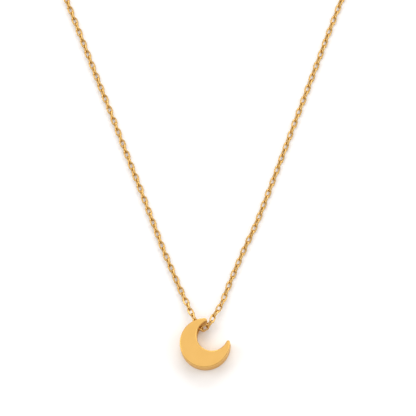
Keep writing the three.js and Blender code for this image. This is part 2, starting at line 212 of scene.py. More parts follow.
@dataclass
class Surface:
    """Points and faces gathered piece by piece, then made into one mesh."""

    points: list[Array] = field(default_factory=list)
    faces: list[list[int]] = field(default_factory=list)
    count: int = 0

    def add(self, points: Array, faces: Array) -> None:
        """Adds points and the faces between them.

        Args:
            points: one point a row.
            faces: a row of point numbers for each face, counted from the first of these points.
        """
        self.points.append(points.reshape(-1, 3))
        self.faces.extend((faces + self.count).tolist())
        self.count += len(self.points[-1])

    def tube(self, rings: Array, closed: bool) -> None:
        """Adds a tube through rings of points, with flat ends unless it is closed.

        Args:
            rings: an array of shape (rings, sides, 3).
            closed: whether the last ring joins the first.
        """
        rows, sides = rings.shape[:2]
        base = self.count
        self.add(rings, grid_quads(rows, sides, closed, True))
        if not closed:
            self.faces.append([base + i for i in range(sides)][::-1])
            self.faces.append([base + (rows - 1) * sides + i for i in range(sides)])

    def mesh(self, name: str, weld: float = 0.0) -> bpy.types.Mesh:
        """Makes the mesh, with its faces turned outwards and its doubles merged.

        Args:
            name: the mesh's name.
            weld: points closer than this are merged; 0 leaves them.

        Returns:
            The mesh.
        """
        mesh = bpy.data.meshes.new(name)
        mesh.from_pydata(np.vstack(self.points).tolist(), [], self.faces)
        work = bmesh.new()
        work.from_mesh(mesh)
        if weld:
            bmesh.ops.remove_doubles(work, verts=work.verts, dist=weld)
            bmesh.ops.dissolve_degenerate(work, edges=work.edges, dist=weld)
        bmesh.ops.recalc_face_normals(work, faces=work.faces)
        work.to_mesh(mesh)
        work.free()
        return mesh


def tube_mesh(name: str, rings: Array, closed: bool = False) -> bpy.types.Mesh:
    """A mesh of one tube through rings of points."""
    surface = Surface()
    surface.tube(rings, closed)
    return surface.mesh(name)


def smooth_shade(mesh: bpy.types.Mesh, sharp_degrees: float) -> None:
    """Shades every face smooth, and keeps edges sharper than the angle crisp."""
    mesh.polygons.foreach_set("use_smooth", np.ones(len(mesh.polygons), dtype=bool))
    mesh.set_sharp_from_angle(angle=math.radians(sharp_degrees))


def mesh_points(mesh: bpy.types.Mesh) -> Array:
    """The mesh's points.

    Args:
        mesh: any mesh.

    Returns:
        Its points, one a row.
    """
    flat = np.empty(len(mesh.vertices) * 3)
    mesh.vertices.foreach_get("co", flat)
    return flat.reshape(-1, 3)


def show_piece(mesh: bpy.types.Mesh, finish: "Finish", body: str, *nodes: str) -> bpy.types.Object:
    """Puts a mesh into the scene as a piece that rides on a body and stands for CAD nodes.

    Args:
        mesh: the finished mesh, in its place.
        finish: what it is made of.
        body: the CAD body that it moves with.
        nodes: the CAD nodes that it replaces.

    Returns:
        The new object.
    """
    piece = bpy.data.objects.new(mesh.name, mesh)
    bpy.context.scene.collection.objects.link(piece)
    mesh.materials.append(finish.material())
    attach(piece, body)
    if nodes:
        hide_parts(*nodes)
    LOG.info("%s: %d faces on %s", piece.name, len(mesh.polygons), body)
    return piece


def joined(first: bpy.types.Mesh, second: bpy.types.Mesh, operation: str) -> bpy.types.Mesh:
    """A new mesh that is the first cut by the second, or joined with it.

    Args:
        first: the closed mesh to work on.
        second: the closed mesh that cuts it or is added.
        operation: Blender's word for the operation, DIFFERENCE or UNION.

    Returns:
        The new mesh, under the first one's name.
    """
    pair = [bpy.data.objects.new(m.name, m) for m in (first, second)]
    for piece in pair:
        bpy.context.scene.collection.objects.link(piece)
    step = pair[0].modifiers.new("join", "BOOLEAN")
    step.operation, step.solver, step.object = operation, "EXACT", pair[1]
    graph = bpy.context.evaluated_depsgraph_get()
    result = bpy.data.meshes.new_from_object(pair[0].evaluated_get(graph))
    for piece in pair:
        bpy.data.objects.remove(piece)
    name = first.name
    first.name = name + ".blank"
    result.name = name
    return result


# ---- Finishes -------------------------------------------------------------------------------------


def linear(hexadecimal: str) -> tuple[float, float, float, float]:
    """An sRGB hex colour as linear light: the sRGB curve undone channel by channel.

    Args:
        hexadecimal: the colour, as #rrggbb.

    Returns:
        Red, green, blue and an alpha of 1.
    """
    channels = [int(hexadecimal[i : i + 2], 16) / 255 for i in (1, 3, 5)]
    flat = [c / 12.92 if c <= 0.04045 else ((c + 0.055) / 1.055) ** 2.4 for c in channels]
    return (*flat, 1.0)


def node(tree: bpy.types.NodeTree, kind: str, settings: dict | None = None, **inputs) -> bpy.types.Node:
    """Adds a node with its settings and links.

    Args:
        tree: the node tree.
        kind: the node's type name.
        settings: attributes set on the node itself.
        inputs: a value or an output socket for each socket, under the socket's name with spaces as
            underscores; in_N stands for the socket of number N.

    Returns:
        The new node.
    """
    new = tree.nodes.new(kind)
    for key, value in (settings or {}).items():
        setattr(new, key, value)
    for key, value in inputs.items():
        socket = new.inputs[int(key[3:])] if key.startswith("in_") else new.inputs[key.replace("_", " ")]
        if isinstance(value, bpy.types.NodeSocket):
            tree.links.new(value, socket)
        else:
            socket.default_value = value
    return new


def noise(tree: bpy.types.NodeTree, cycle_mm: float, detail: float) -> bpy.types.NodeSocket:
    """Noise in the object's own coordinates: a cycle, with finer ones of half the length over it.

    Args:
        tree: the node tree.
        cycle_mm: length of the largest cycle.
        detail: how many finer cycles lie over it.

    Returns:
        The socket that gives the noise, from 0 to 1.
    """
    place = node(tree, "ShaderNodeTexCoord").outputs["Object"]
    scale = 1 / (cycle_mm * MM)
    return node(tree, "ShaderNodeTexNoise", Vector=place, Scale=scale, Detail=detail).outputs["Fac"]


def spread(tree: bpy.types.NodeTree, value: bpy.types.NodeSocket, low: float,
           high: float) -> bpy.types.NodeSocket:
    """Noise stretched in proportion, so that its usual range NOISE_SPAN becomes low to high."""
    return node(
        tree, "ShaderNodeMapRange", Value=value, From_Min=NOISE_SPAN[0], From_Max=NOISE_SPAN[1],
        To_Min=low, To_Max=high,
    ).outputs["Result"]


def relief(tree: bpy.types.NodeTree, height: bpy.types.NodeSocket, depth_mm: float,
           strength: float = 1.0, **below) -> bpy.types.NodeSocket:
    """A normal tilted by the slope of height times depth_mm, over the relief below it, if any."""
    return node(
        tree, "ShaderNodeBump", Height=height, Strength=strength, Distance=depth_mm * MM, **below
    ).outputs["Normal"]


@dataclass(frozen=True)
class Finish:
    """A finish of one real material; each kind fills in its own shader."""

    name: str
    slot: str

    def material(self) -> bpy.types.Material:
        """The material, made once and shared by every piece that has this finish."""
        found = bpy.data.materials.get(self.name)
        if found:
            return found
        made = bpy.data.materials.new(self.name)
        made.use_nodes = True
        made.node_tree.nodes.clear()
        self.shade(made.node_tree)
        return made

    def shade(self, tree: bpy.types.NodeTree) -> None:
        """Fills the node tree."""
        raise NotImplementedError


@dataclass(frozen=True)
class PlatedMetal(Finish):
    """Gold plating on brass: a metal whose colour, gloss and fine relief vary a little.

    The plating is a few micrometres thick, so it keeps every mark of the brass under it: grain from
    the tumbling or blasting, and low waves from casting or drawing.
    """

    colour: str
    deep: str
    roughness: float
    gloss_spread: float
    grain_mm: float
    grain_depth_mm: float
    wave_mm: float
    wave_depth_mm: float
    polish_roughness: float = 0.14
    edge: str = "#fff4dc"

    def shade(self, tree: bpy.types.NodeTree) -> None:
        """Waves tint the gold, grain and waves bump it, and the polish attribute smooths it."""
        wave = noise(tree, self.wave_mm, detail=3.0)
        grain = noise(tree, self.grain_mm, detail=2.0)
        polish = node(tree, "ShaderNodeAttribute", {"attribute_name": "polish"}).outputs["Fac"]
        colour = node(
            tree, "ShaderNodeMix", {"data_type": "RGBA"}, in_0=spread(tree, wave, 0.0, 1.0),
            in_6=linear(self.colour), in_7=linear(self.deep),
        ).outputs[2]
        gloss = spread(
            tree, grain, self.roughness - self.gloss_spread, self.roughness + self.gloss_spread)
        worn = node(
            tree, "ShaderNodeMix", {"data_type": "FLOAT"}, in_0=polish, in_2=gloss,
            in_3=self.polish_roughness,
        ).outputs[0]
        low = relief(tree, wave, self.wave_depth_mm)
        fine = relief(tree, grain, self.grain_depth_mm, Normal=low)
        skin = node(
            tree, "ShaderNodeBsdfPrincipled", Base_Color=colour, Metallic=1.0, Roughness=worn,
            Specular_Tint=linear(self.edge), Normal=fine,
        )
        node(tree, "ShaderNodeOutputMaterial", Surface=skin.outputs["BSDF"])


# Cast brass, tumbled with fine ceramic media, then gold plated: satin faces that spread a reflection
# wide, and rims that the tumbling has rubbed bright.
SATIN_GOLD = PlatedMetal(
    "gold_plate_on_tumbled_brass", "plated_gold_satin", colour="#e2b569", deep="#dfb164",
    roughness=0.36, gloss_spread=0.05, grain_mm=0.16, grain_depth_mm=0.0022,
    wave_mm=2.4, wave_depth_mm=0.006, polish_roughness=0.16,
)
# Brass wire drawn through a die, bent, soldered and plated: round, bright and deeply coloured where
# neighbouring links reflect each other.
WIRE_GOLD = PlatedMetal(
    "gold_plate_on_drawn_wire", "plated_gold_chain", colour="#dab473", deep="#cea55c",
    roughness=0.17, gloss_spread=0.05, grain_mm=0.10, grain_depth_mm=0.0008,
    wave_mm=0.9, wave_depth_mm=0.003,
)
# Brass wire rings, barrel polished before plating.
RING_GOLD = PlatedMetal(
    "gold_plate_on_polished_rings", "plated_gold_polished", colour="#dfb870", deep="#d4ab5a",
    roughness=0.13, gloss_spread=0.04, grain_mm=0.12, grain_depth_mm=0.0008,
    wave_mm=1.4, wave_depth_mm=0.003,
)
# Lost-wax cast brass, tumbled and plated: soft edges and the low waves of the wax.
CAST_GOLD = PlatedMetal(
    "gold_plate_on_cast_brass", "plated_gold_cast", colour="#dcb469", deep="#cea454",
    roughness=0.22, gloss_spread=0.06, grain_mm=0.14, grain_depth_mm=0.002,
    wave_mm=1.6, wave_depth_mm=0.008,
)
# Stainless wire cut and headed as a rivet: grey, with the bright ring of the heading tool.
PIN_STEEL = PlatedMetal(
    "headed_stainless_wire", "pin_steel", colour="#c9c4bb", deep="#b2ada4",
    roughness=0.28, gloss_spread=0.08, grain_mm=0.08, grain_depth_mm=0.0015,
    wave_mm=0.6, wave_depth_mm=0.003, edge="#ffffff",
)
# Hard-rolled stainless strip, bent into a leaf: darker, with rolling marks.
SPRING_STEEL = PlatedMetal(
    "rolled_spring_strip", "spring_steel", colour="#a9a49b", deep="#938e85",
    roughness=0.32, gloss_spread=0.08, grain_mm=0.05, grain_depth_mm=0.001,
    wave_mm=0.4, wave_depth_mm=0.002, edge="#ffffff",
)


@dataclass(frozen=True)
class PaperSweep(Finish):
    """Matt white paper under the necklace: faint fibres, no gloss."""

    colour: str = "#f4f4f5"
    roughness: float = 0.9
    fibre_mm: float = 0.8
    fibre_depth_mm: float = 0.02

    def shade(self, tree: bpy.types.NodeTree) -> None:
        """Noise of the fibres' size embosses the paper."""
        fibre = noise(tree, self.fibre_mm, detail=3.0)
        skin = node(
            tree, "ShaderNodeBsdfPrincipled", Base_Color=linear(self.colour), Specular_IOR_Level=0.1,
            Roughness=self.roughness, Normal=relief(tree, fibre, self.fibre_depth_mm, strength=0.2),
        )
        node(tree, "ShaderNodeOutputMaterial", Surface=skin.outputs["BSDF"])


# ---- Crescent -------------------------------------------------------------------------------------


@dataclass
class Crescent:
    """The flat crescent with a hole through its upper horn for the chain.

    Its sides are three circles and two horn tips. The bay's circle follows from the widest part of
    the body and the angle of the horns, as a horn tip touches both circles.
    """

    radius: float = 5.0 * MM
    body_width: float = 3.97 * MM
    tip_radius: float = 0.36 * MM
    edge_radius: float = 0.2 * MM
    bore_radius: float = 0.85 * MM
    bore_length: float = 1.747 * MM
    bay_angle: float = math.radians(45)
    mouth_half: float = math.radians(44.5)
    edge_steps: int = 7
    rim_seat: float = 0.035 * MM
    countersink: float = 0.13 * MM
    drill_sides: int = 64
    half_points: int = 150
    tip_points: int = 14
    cap_columns: int = 10

    def __post_init__(self) -> None:
        """Works out the circles' centres, the bay's radius and the hole's mouth."""
        low, high = box_corners("crescent_pendant")
        self.thickness = float(high[2])
        self.centre = low[:2] + self.radius
        reach = self.radius - self.tip_radius
        slack = self.radius - self.body_width + self.tip_radius
        bay_offset = (reach**2 - slack**2) / (2 * (slack + reach * math.cos(self.mouth_half)))
        self.bay_radius = self.radius + bay_offset - self.body_width
        self.bay_centre = self.centre + polar(bay_offset, self.bay_angle)
        self.upper_tip = self.centre + polar(reach, self.bay_angle + self.mouth_half)
        self.lower_tip = self.centre + polar(reach, self.bay_angle - self.mouth_half)
        hinge = hinge_of("pendant_swing")
        self.bore_way = unit(np.array(hinge["axis"])[:2])
        self.bore_mouth = np.array(hinge["pos_m"])[:2] - self.bore_way * self.bore_length / 2

    def in_bore(self, along: float, aside: float, height: float) -> Array:
        """The hole's outer mouth, moved along the hole's line and square to it.

        Args:
            along: how far into the hole.
            aside: how far to the left of its line.
            height: the point's z.

        Returns:
            The point.
        """
        across = np.array([-self.bore_way[1], self.bore_way[0]])
        flat = self.bore_mouth + along * self.bore_way + aside * across
        return np.append(flat, height)

    def beside_tip(self, degrees: float, reach: float, height: float) -> Array:
        """A point at an angle and a distance from the upper horn's tip, at a height."""
        return np.append(self.upper_tip + polar(reach, math.radians(degrees)), height)

    def arc(self, centre: Array, radius: float, start: float, end: float, count: int,
            hollow: bool = False) -> tuple[Array, Array]:
        """Points and outward directions along an arc.

        Args:
            centre: the circle's centre.
            radius: its radius.
            start: first angle.
            end: last angle.
            count: number of points, both ends included.
            hollow: whether the metal lies outside the circle.

        Returns:
            The points and the unit vectors that point out of the metal.
        """
        angle = np.linspace(start, end, count)
        out = polar(1.0, angle)
        return centre + radius * out, -out if hollow else out

    def halves(self) -> tuple[tuple[Array, Array], tuple[Array, Array]]:
        """The outline's two sides, each three arcs: half a horn tip, a circle, half a horn tip.

        Returns:
            The points and outward directions of the outer side and of the inner side, both from the
            lower tip to the upper one.
        """
        start = self.bay_angle + self.mouth_half
        end = self.bay_angle - self.mouth_half + TURN
        to_lower, to_upper = self.lower_tip - self.bay_centre, self.upper_tip - self.bay_centre
        lower = math.atan2(to_lower[1], to_lower[0])
        upper = math.atan2(to_upper[1], to_upper[0])
        low_mid = (end + lower + 3 * math.pi) / 2
        high_mid = (upper - math.pi + start) / 2
        main = self.half_points - 2 * self.tip_points + 2
        outer = [
            self.arc(self.lower_tip, self.tip_radius, low_mid, end, self.tip_points),
            self.arc(self.centre, self.radius, end, start, main),
            self.arc(self.upper_tip, self.tip_radius, start, high_mid, self.tip_points),
        ]
        inner = [
            self.arc(self.lower_tip, self.tip_radius, low_mid, lower + 3 * math.pi, self.tip_points),
            self.arc(self.bay_centre, self.bay_radius, lower + TURN, upper, main, hollow=True),
            self.arc(self.upper_tip, self.tip_radius, upper - math.pi, high_mid, self.tip_points),
        ]
        sides = []
        for parts in (outer, inner):
            points = np.vstack([p if i == 0 else p[1:] for i, (p, _) in enumerate(parts)])
            out = np.vstack([n if i == 0 else n[1:] for i, (_, n) in enumerate(parts)])
            sides.append((points, out))
        return sides[0], sides[1]

    def blank(self) -> bpy.types.Mesh:
        """The undrilled crescent.

        The wall is the outline moved inwards by 1 - sine and up by 1 - cosine of a quarter turn
        times the edge radius, at both faces; a face is a grid of straight lines from side to side.

        Returns:
            The closed mesh.
        """
        (outer, outer_out), (inner, inner_out) = self.halves()
        loop = np.vstack([outer, inner[-2:0:-1]])
        out = np.vstack([outer_out, inner_out[-2:0:-1]])
        quarter = np.linspace(0, math.pi / 2, self.edge_steps)
        inset = self.edge_radius * (1 - np.sin(quarter))
        height = self.edge_radius * (1 - np.cos(quarter))
        inset = np.concatenate([[self.edge_radius + self.rim_seat], inset])
        height = np.concatenate([[0.0], height])
        inset = np.concatenate([inset, inset[::-1]])
        height = np.concatenate([height, self.thickness - height[::-1]])
        surface = Surface()
        flat = loop[None] - out[None] * inset[:, None, None]
        levels = np.broadcast_to(height[:, None, None], (*flat.shape[:2], 1))
        surface.add(np.concatenate([flat, levels], axis=2), grid_quads(len(inset), len(loop), False, True))
        share = np.linspace(0, 1, self.cap_columns)[None, :, None]
        edge_a = outer - outer_out * inset[0]
        edge_b = inner - inner_out * inset[0]
        face = edge_a[:, None] * (1 - share) + edge_b[:, None] * share
        for z in (0.0, self.thickness):
            level = np.full((*face.shape[:2], 1), z)
            surface.add(np.concatenate([face, level], axis=2), grid_quads(*face.shape[:2], False, False))
        return surface.mesh("crescent_pendant_gold", weld=0.0008 * MM)

    def cutter(self) -> bpy.types.Mesh:
        """A drill with a countersink: a profile of radius against depth turned about the hole.

        Returns:
            The closed mesh that the drill sweeps.
        """
        sink, past = self.countersink, 3 * MM
        profile = np.array([
            [self.bore_radius + 2.2 * sink, -past], [self.bore_radius + 2.2 * sink, -1.2 * sink],
            [self.bore_radius, sink], [self.bore_radius, self.bore_length + past],
        ])
        turn = np.arange(self.drill_sides) * TURN / self.drill_sides
        way = np.append(self.bore_way, 0.0)
        across = np.array([-way[1], way[0], 0.0])
        wheel = np.cos(turn)[:, None] * across + np.sin(turn)[:, None] * np.array([0, 0, 1.0])
        axis = self.in_bore(0, 0, self.thickness / 2)
        rings = axis + profile[:, 1, None, None] * way + profile[:, 0, None, None] * wheel[None]
        return tube_mesh("crescent_drill", rings)

    def build(self) -> None:
        """Drills the blank, marks its polished rims and shows it."""
        mesh = joined(self.blank(), self.cutter(), "DIFFERENCE")
        points = mesh_points(mesh)
        near_face = np.abs(points[:, 2] - self.thickness / 2) - (self.thickness / 2 - self.edge_radius)
        share = np.clip(near_face / self.edge_radius, 0, 1)
        polish = np.clip(4 * share * (1 - share), 0, 1) ** 0.5
        mesh.attributes.new("polish", "FLOAT", "POINT").data.foreach_set("value", polish)
        smooth_shade(mesh, 32)
        show_piece(mesh, SATIN_GOLD, "pendant", "crescent_pendant")


# ---- Chain ----------------------------------------------------------------------------------------


class Side(Enum):
    """The two halves of the necklace, by the sign of their x."""

    LEFT = -1
    RIGHT = 1


@dataclass(frozen=True)
class LinkShape:
    """An oval wire link: two half circles and two straights, bent from round wire."""

    length: float
    width: float
    wire: float
    bow_steps: int
    sides: int
    straight_steps: int = 1

    def line(self) -> Array:
        """The wire's centre line: x along the link, y across it; the bows are half circles."""
        bow = (self.width - self.wire) / 2
        half = (self.length - self.wire) / 2 - bow
        turn = np.linspace(-math.pi / 2, math.pi / 2, self.bow_steps + 1)
        right = polar(bow, turn) + [half, 0]
        run = np.linspace(1, -1, self.straight_steps + 1)[1:-1]
        top = np.stack([run * half, np.full_like(run, bow)], axis=1)
        return np.vstack([right, top, -right, -top])

    def rings(self) -> Array:
        """Circles round the centre line, in the link's own x, y and z."""
        flat = self.line()
        path = np.column_stack([flat, np.zeros(len(flat))])
        way = unit(np.roll(path, -1, axis=0) - np.roll(path, 1, axis=0))
        lift = np.broadcast_to([0.0, 0.0, 1.0], path.shape)
        return wire_rings(path, np.cross(way, lift), lift, self.wire / 2, self.sides)


# Where each strand lies: x and y from the crescent's centre, and the lift over a laid chain.
LEFT_STRAND_MM = (
    (-3.05, 7.0, 0.75), (-4.0, 9.2, 0.25), (-5.1, 11.6), (-6.35, 14.6), (-8.5, 19.8), (-10.66, 25.6),
    (-12.83, 31.5), (-15.13, 37.5), (-17.39, 43.5), (-19.61, 49.4), (-21.94, 55.4), (-24.18, 61.3),
    (-26.42, 67.2), (-28.6, 72.9), (-29.6, 75.7),
)
RIGHT_STRAND_MM = (
    (3.2, 8.3, 0.5), (4.12, 10.8, 0.15), (5.5, 14.3), (7.66, 19.4), (10.16, 24.8), (12.32, 30.4),
    (14.58, 36.4), (16.8, 42.4), (19.02, 48.4), (21.26, 54.4), (23.49, 60.4), (25.71, 66.4),
    (28.07, 72.4), (29.6, 75.7),
)
# The right strand as it leaves the hole: along the hole from its outer mouth, and aside of its line.
OUT_OF_BORE_MM = ((1.88, 0.26), (2.08, 0.74), (2.02, 1.3))
# Then round the horn: degrees and distance from its tip, and the lift over the crescent's middle.
ROUND_HORN_MM = ((-78, 1.2, 0.2), (-38, 1.17, 0.2), (0, 1.2, 0.1), (25, 1.5, 0.0), (38, 2.3, -0.3))


@dataclass
class Chain:
    """A fine oval cable chain in two runs of links, which meet in the middle of the crescent's hole.

    Every link spans one chord of its route, and each is a quarter turn from the one before.
    """

    crescent: Crescent
    thick: float = 1.1 * MM
    rest_gap: float = 0.02 * MM
    link_length: float = 2.01 * MM
    link_width: float = 1.28 * MM
    link_wire: float = 0.36 * MM
    left_lean: float = math.radians(22)
    right_lean: float = math.radians(34)
    lean_spread: float = math.radians(4)
    coil_turns: float = 2.308
    coil_gap: float = 0.05 * MM
    coil_entry: float = math.radians(20.9)
    coil_climb: float = 0.5 * MM
    horn_lift: float = 0.2 * MM
    ring_radius: float = 1.5 * MM
    ring_wire: float = 0.3 * MM
    ring_dip: float = math.radians(38)
    left_end_lean: float = math.radians(6)
    right_end_lean: float = math.radians(44)

    def __post_init__(self) -> None:
        """Works out heights, and the coils' circles from their CAD solids."""
        self.laid = self.thick / 2 + self.rest_gap
        self.mid = self.crescent.thickness / 2
        low, high = box_corners("chain_coil_right")
        own = np.append(self.crescent.centre, 0)
        self.coil_centre = ((low + high) / 2 - own)[:2]
        self.outer_turn = float(high[0] - low[0]) / 2 - self.thick / 2
        self.coil_pitch = self.thick + self.coil_gap

    def knot(self, x_mm: float, y_mm: float, up_mm: float = 0.0) -> Array:
        """A point of the laid chain, from the crescent's centre, raised by up_mm."""
        flat = self.crescent.centre + np.array([x_mm, y_mm]) * MM
        return np.append(flat, self.laid + up_mm * MM)

    def left_strand(self) -> list[Array]:
        """From the middle of the hole out of its outer mouth and up to the left coil.

        Returns:
            The knots of the route.
        """
        c = self.crescent
        return [
            c.in_bore(c.bore_length / 2, 0, self.mid), c.in_bore(-0.6 * MM, 0, self.mid - 0.05 * MM),
            *(self.knot(*place) for place in LEFT_STRAND_MM),
        ]

    def right_strand(self) -> list[Array]:
        """From the middle of the hole into the bay, round the upper horn and up to the right coil.

        Returns:
            The knots of the route.
        """
        c = self.crescent
        high = self.mid + self.horn_lift
        out = [c.in_bore(along * MM, aside * MM, high) for along, aside in OUT_OF_BORE_MM]
        round_horn = [
            c.beside_tip(degrees, reach * MM, self.mid + lift * MM)
            for degrees, reach, lift in ROUND_HORN_MM
        ]
        return [
            c.in_bore(c.bore_length / 2, 0, self.mid), c.in_bore(1.4 * MM, 0.02 * MM, self.mid),
            *out, *round_horn, *(self.knot(*place) for place in RIGHT_STRAND_MM),
        ]

    def coil(self, side: Side) -> list[Array]:
        """The turns of a coil, inwards from where the strand meets it to its top.

        The angle grows evenly, and the radius shrinks by one pitch a turn; over the last eighth of a
        turn the chain rises to climb over the outer turns.

        Args:
            side: which half of the necklace.

        Returns:
            The knots of the route.
        """
        per_turn = 20
        total = TURN * self.coil_turns
        angle = np.linspace(-self.coil_entry, total - self.coil_entry, round(per_turn * self.coil_turns))
        radius = self.outer_turn - self.coil_pitch * (angle + self.coil_entry) / TURN
        climb = np.clip((angle - angle[-1]) / (TURN / 8) + 1, 0, 1) ** 2 * self.coil_climb
        flat = polar(radius, angle) + self.coil_centre
        x = self.crescent.centre[0] + side.value * flat[:, 0]
        y = self.crescent.centre[1] + flat[:, 1]
        return list(np.column_stack([x, y, self.laid + climb]))

    def tail(self, side: Side) -> list[Array]:
        """From the top of a coil over its outer turns and down towards its ring.

        Args:
            side: which half of the necklace.

        Returns:
            The knots of the route.
        """
        s = side.value
        over = [
            self.knot(s * 22.6, 88.1, 0.93), self.knot(s * 21.1, 88.1, 1.13),
            self.knot(s * 19.4, 88.1, 1.15), self.knot(s * 17.9, 88.1, 1.05),
            self.knot(s * 16.4, 88.1, 0.75), self.knot(s * 15.0, 88.07, 0.35),
        ]
        if side is Side.LEFT:
            return [*over, self.knot(-13.9, 87.8, 0.1), self.knot(-12.8, 87.3), self.knot(-12.1, 86.85)]
        return [*over, self.knot(14.0, 88.1, 0.12)]

    def ring_hold(self, side: Side) -> tuple[list[Array], float]:
        """Where the last link holds the jump ring's wire, and the lean that it has there.

        Args:
            side: which half of the necklace.

        Returns:
            The last knots of the route, and the last link's lean.
        """
        node_name = "clasp_jump_ring" if side is Side.LEFT else "end_jump_ring"
        middle = middle_of(node_name)
        end = self.tail(side)[-1]
        onward = unit((middle - end)[:2])
        if side is Side.LEFT:
            down = self.ring_radius * math.sin(self.ring_dip)
            back = self.ring_radius * math.cos(self.ring_dip) - self.ring_wire
            return [np.append(middle[:2] - onward * back, middle[2] - down)], self.left_end_lean
        flat = middle[:2] - onward * (self.ring_radius - self.ring_wire)
        hold = np.append(flat, middle[2])
        before = hold - np.append(onward * 1.3 * MM, 0.35 * MM)
        return [before, hold], self.right_end_lean

    def route(self, side: Side) -> tuple[Array, float]:
        """The whole route of one run, from the middle of the hole to its ring.

        Args:
            side: which half of the necklace.

        Returns:
            The points, and the lean of the last link.
        """
        strand = self.left_strand() if side is Side.LEFT else self.right_strand()
        hold, last_lean = self.ring_hold(side)
        knots = np.array([*strand, *self.coil(side), *self.tail(side), *hold])
        return smooth_route(knots), last_lean

    def run(self, side: Side, noise: np.random.Generator) -> None:
        """A link's x is its chord. Its y is level and its z upright, both then turned about x by the
        link's lean, which swings a quarter turn from link to link.

        Args:
            side: which half of the necklace.
            noise: draws the small differences between the leans.
        """
        route, last_lean = self.route(side)
        pitch = self.link_length - 2 * self.link_wire
        length = float(np.linalg.norm(np.diff(route, axis=0), axis=1).sum())
        count = 2 * round(length / pitch / 2) + (1 if side is Side.LEFT else 0)
        joints, pitch = fit_chord(route, pitch, count)
        x = unit(np.diff(joints, axis=0))
        level = unit(np.cross([0.0, 0.0, 1.0], x))
        upright = np.cross(x, level)
        order = np.arange(count)
        even = (order % 2 == 0) == (side is Side.LEFT)
        flatter = self.left_lean if side is Side.LEFT else self.right_lean
        lean = np.where(even, flatter, flatter - math.pi / 2)
        lean = lean + noise.uniform(-1, 1, count) * self.lean_spread
        lean[-1] = last_lean
        y = np.cos(lean)[:, None] * level + np.sin(lean)[:, None] * upright
        z = np.cross(x, y)
        turned = np.stack([x, y, z], axis=1)
        link = LinkShape(self.link_length, self.link_width, self.link_wire, bow_steps=7, sides=6)
        rings = link.rings()
        middle = (joints[1:] + joints[:-1]) / 2
        points = np.einsum("vk,nkj->nvj", rings.reshape(-1, 3), turned) + middle[:, None]
        quads = grid_quads(*rings.shape[:2], True, True)
        faces = quads[None] + (np.arange(count) * points.shape[1])[:, None, None]
        surface = Surface()
        surface.add(points, faces.reshape(-1, 4))
        name = side.name.lower()
        mesh = surface.mesh(f"chain_{name}_links")
        smooth_shade(mesh, 80)
        nodes = [f"chain_strand_{name}", f"chain_coil_{name}", f"chain_tail_{name}"]
        mouth = 0.0 if side is Side.LEFT else self.crescent.bore_length
        if side is Side.RIGHT:
            nodes.append("chain_bight")
        piece = show_piece(mesh, WIRE_GOLD, "chain", *nodes)
        self.crescent.in_bore(mouth, 0, self.mid)
        LOG.info("%s run: %d links, pitch %.3f mm, %.1f mm", name, count, pitch / MM, length / MM)

    def build(self) -> None:
        """Builds both runs."""
        noise = np.random.default_rng(SEED)
        for side in Side:
            self.run(side, noise)


# ---- Rings, extender and drop ---------------------------------------------------------------------


def turned_about_z(points: Array, heading: float) -> Array:
    """Points turned about Z: x' = x cos - y sin, y' = x sin + y cos."""
    c, s = math.cos(heading), math.sin(heading)
    return points @ np.array([[c, s, 0.0], [-s, c, 0.0], [0.0, 0.0, 1.0]])


def rolled_about_x(points: Array, roll: float) -> Array:
    """Points turned about X: y' = y cos - z sin, z' = y sin + z cos."""
    c, s = math.cos(roll), math.sin(roll)
    return points @ np.array([[1.0, 0.0, 0.0], [0.0, c, s], [0.0, -s, c]])


def cut_ring(shape: LinkShape, gap: float, steps: int) -> Array:
    """Circles along a ring that is cut through once, as a jump ring is.

    The wire's closed centre line is walked by its length, from half the gap past the middle of a
    side to half the gap before it.

    Args:
        shape: the ring's shape.
        gap: the width of the cut.
        steps: number of circles.

    Returns:
        The circles, of shape (steps, sides, 3), open from the last to the first.
    """
    flat = shape.line()
    flat = np.roll(flat, -(shape.bow_steps + 1 + shape.straight_steps // 2), axis=0)
    loop = np.vstack([flat, flat[:1]])
    walked = np.concatenate([[0], np.cumsum(np.linalg.norm(np.diff(loop, axis=0), axis=1))])
    at = np.linspace(gap / 2, walked[-1] - gap / 2, steps)
    path = np.column_stack([np.interp(at, walked, loop[:, i]) for i in (0, 1)] + [np.zeros(steps)])
    way = unit(np.gradient(path, axis=0))
    lift = np.broadcast_to([0.0, 0.0, 1.0], path.shape)
    return wire_rings(path, np.cross(way, lift), lift, shape.wire / 2, shape.sides)


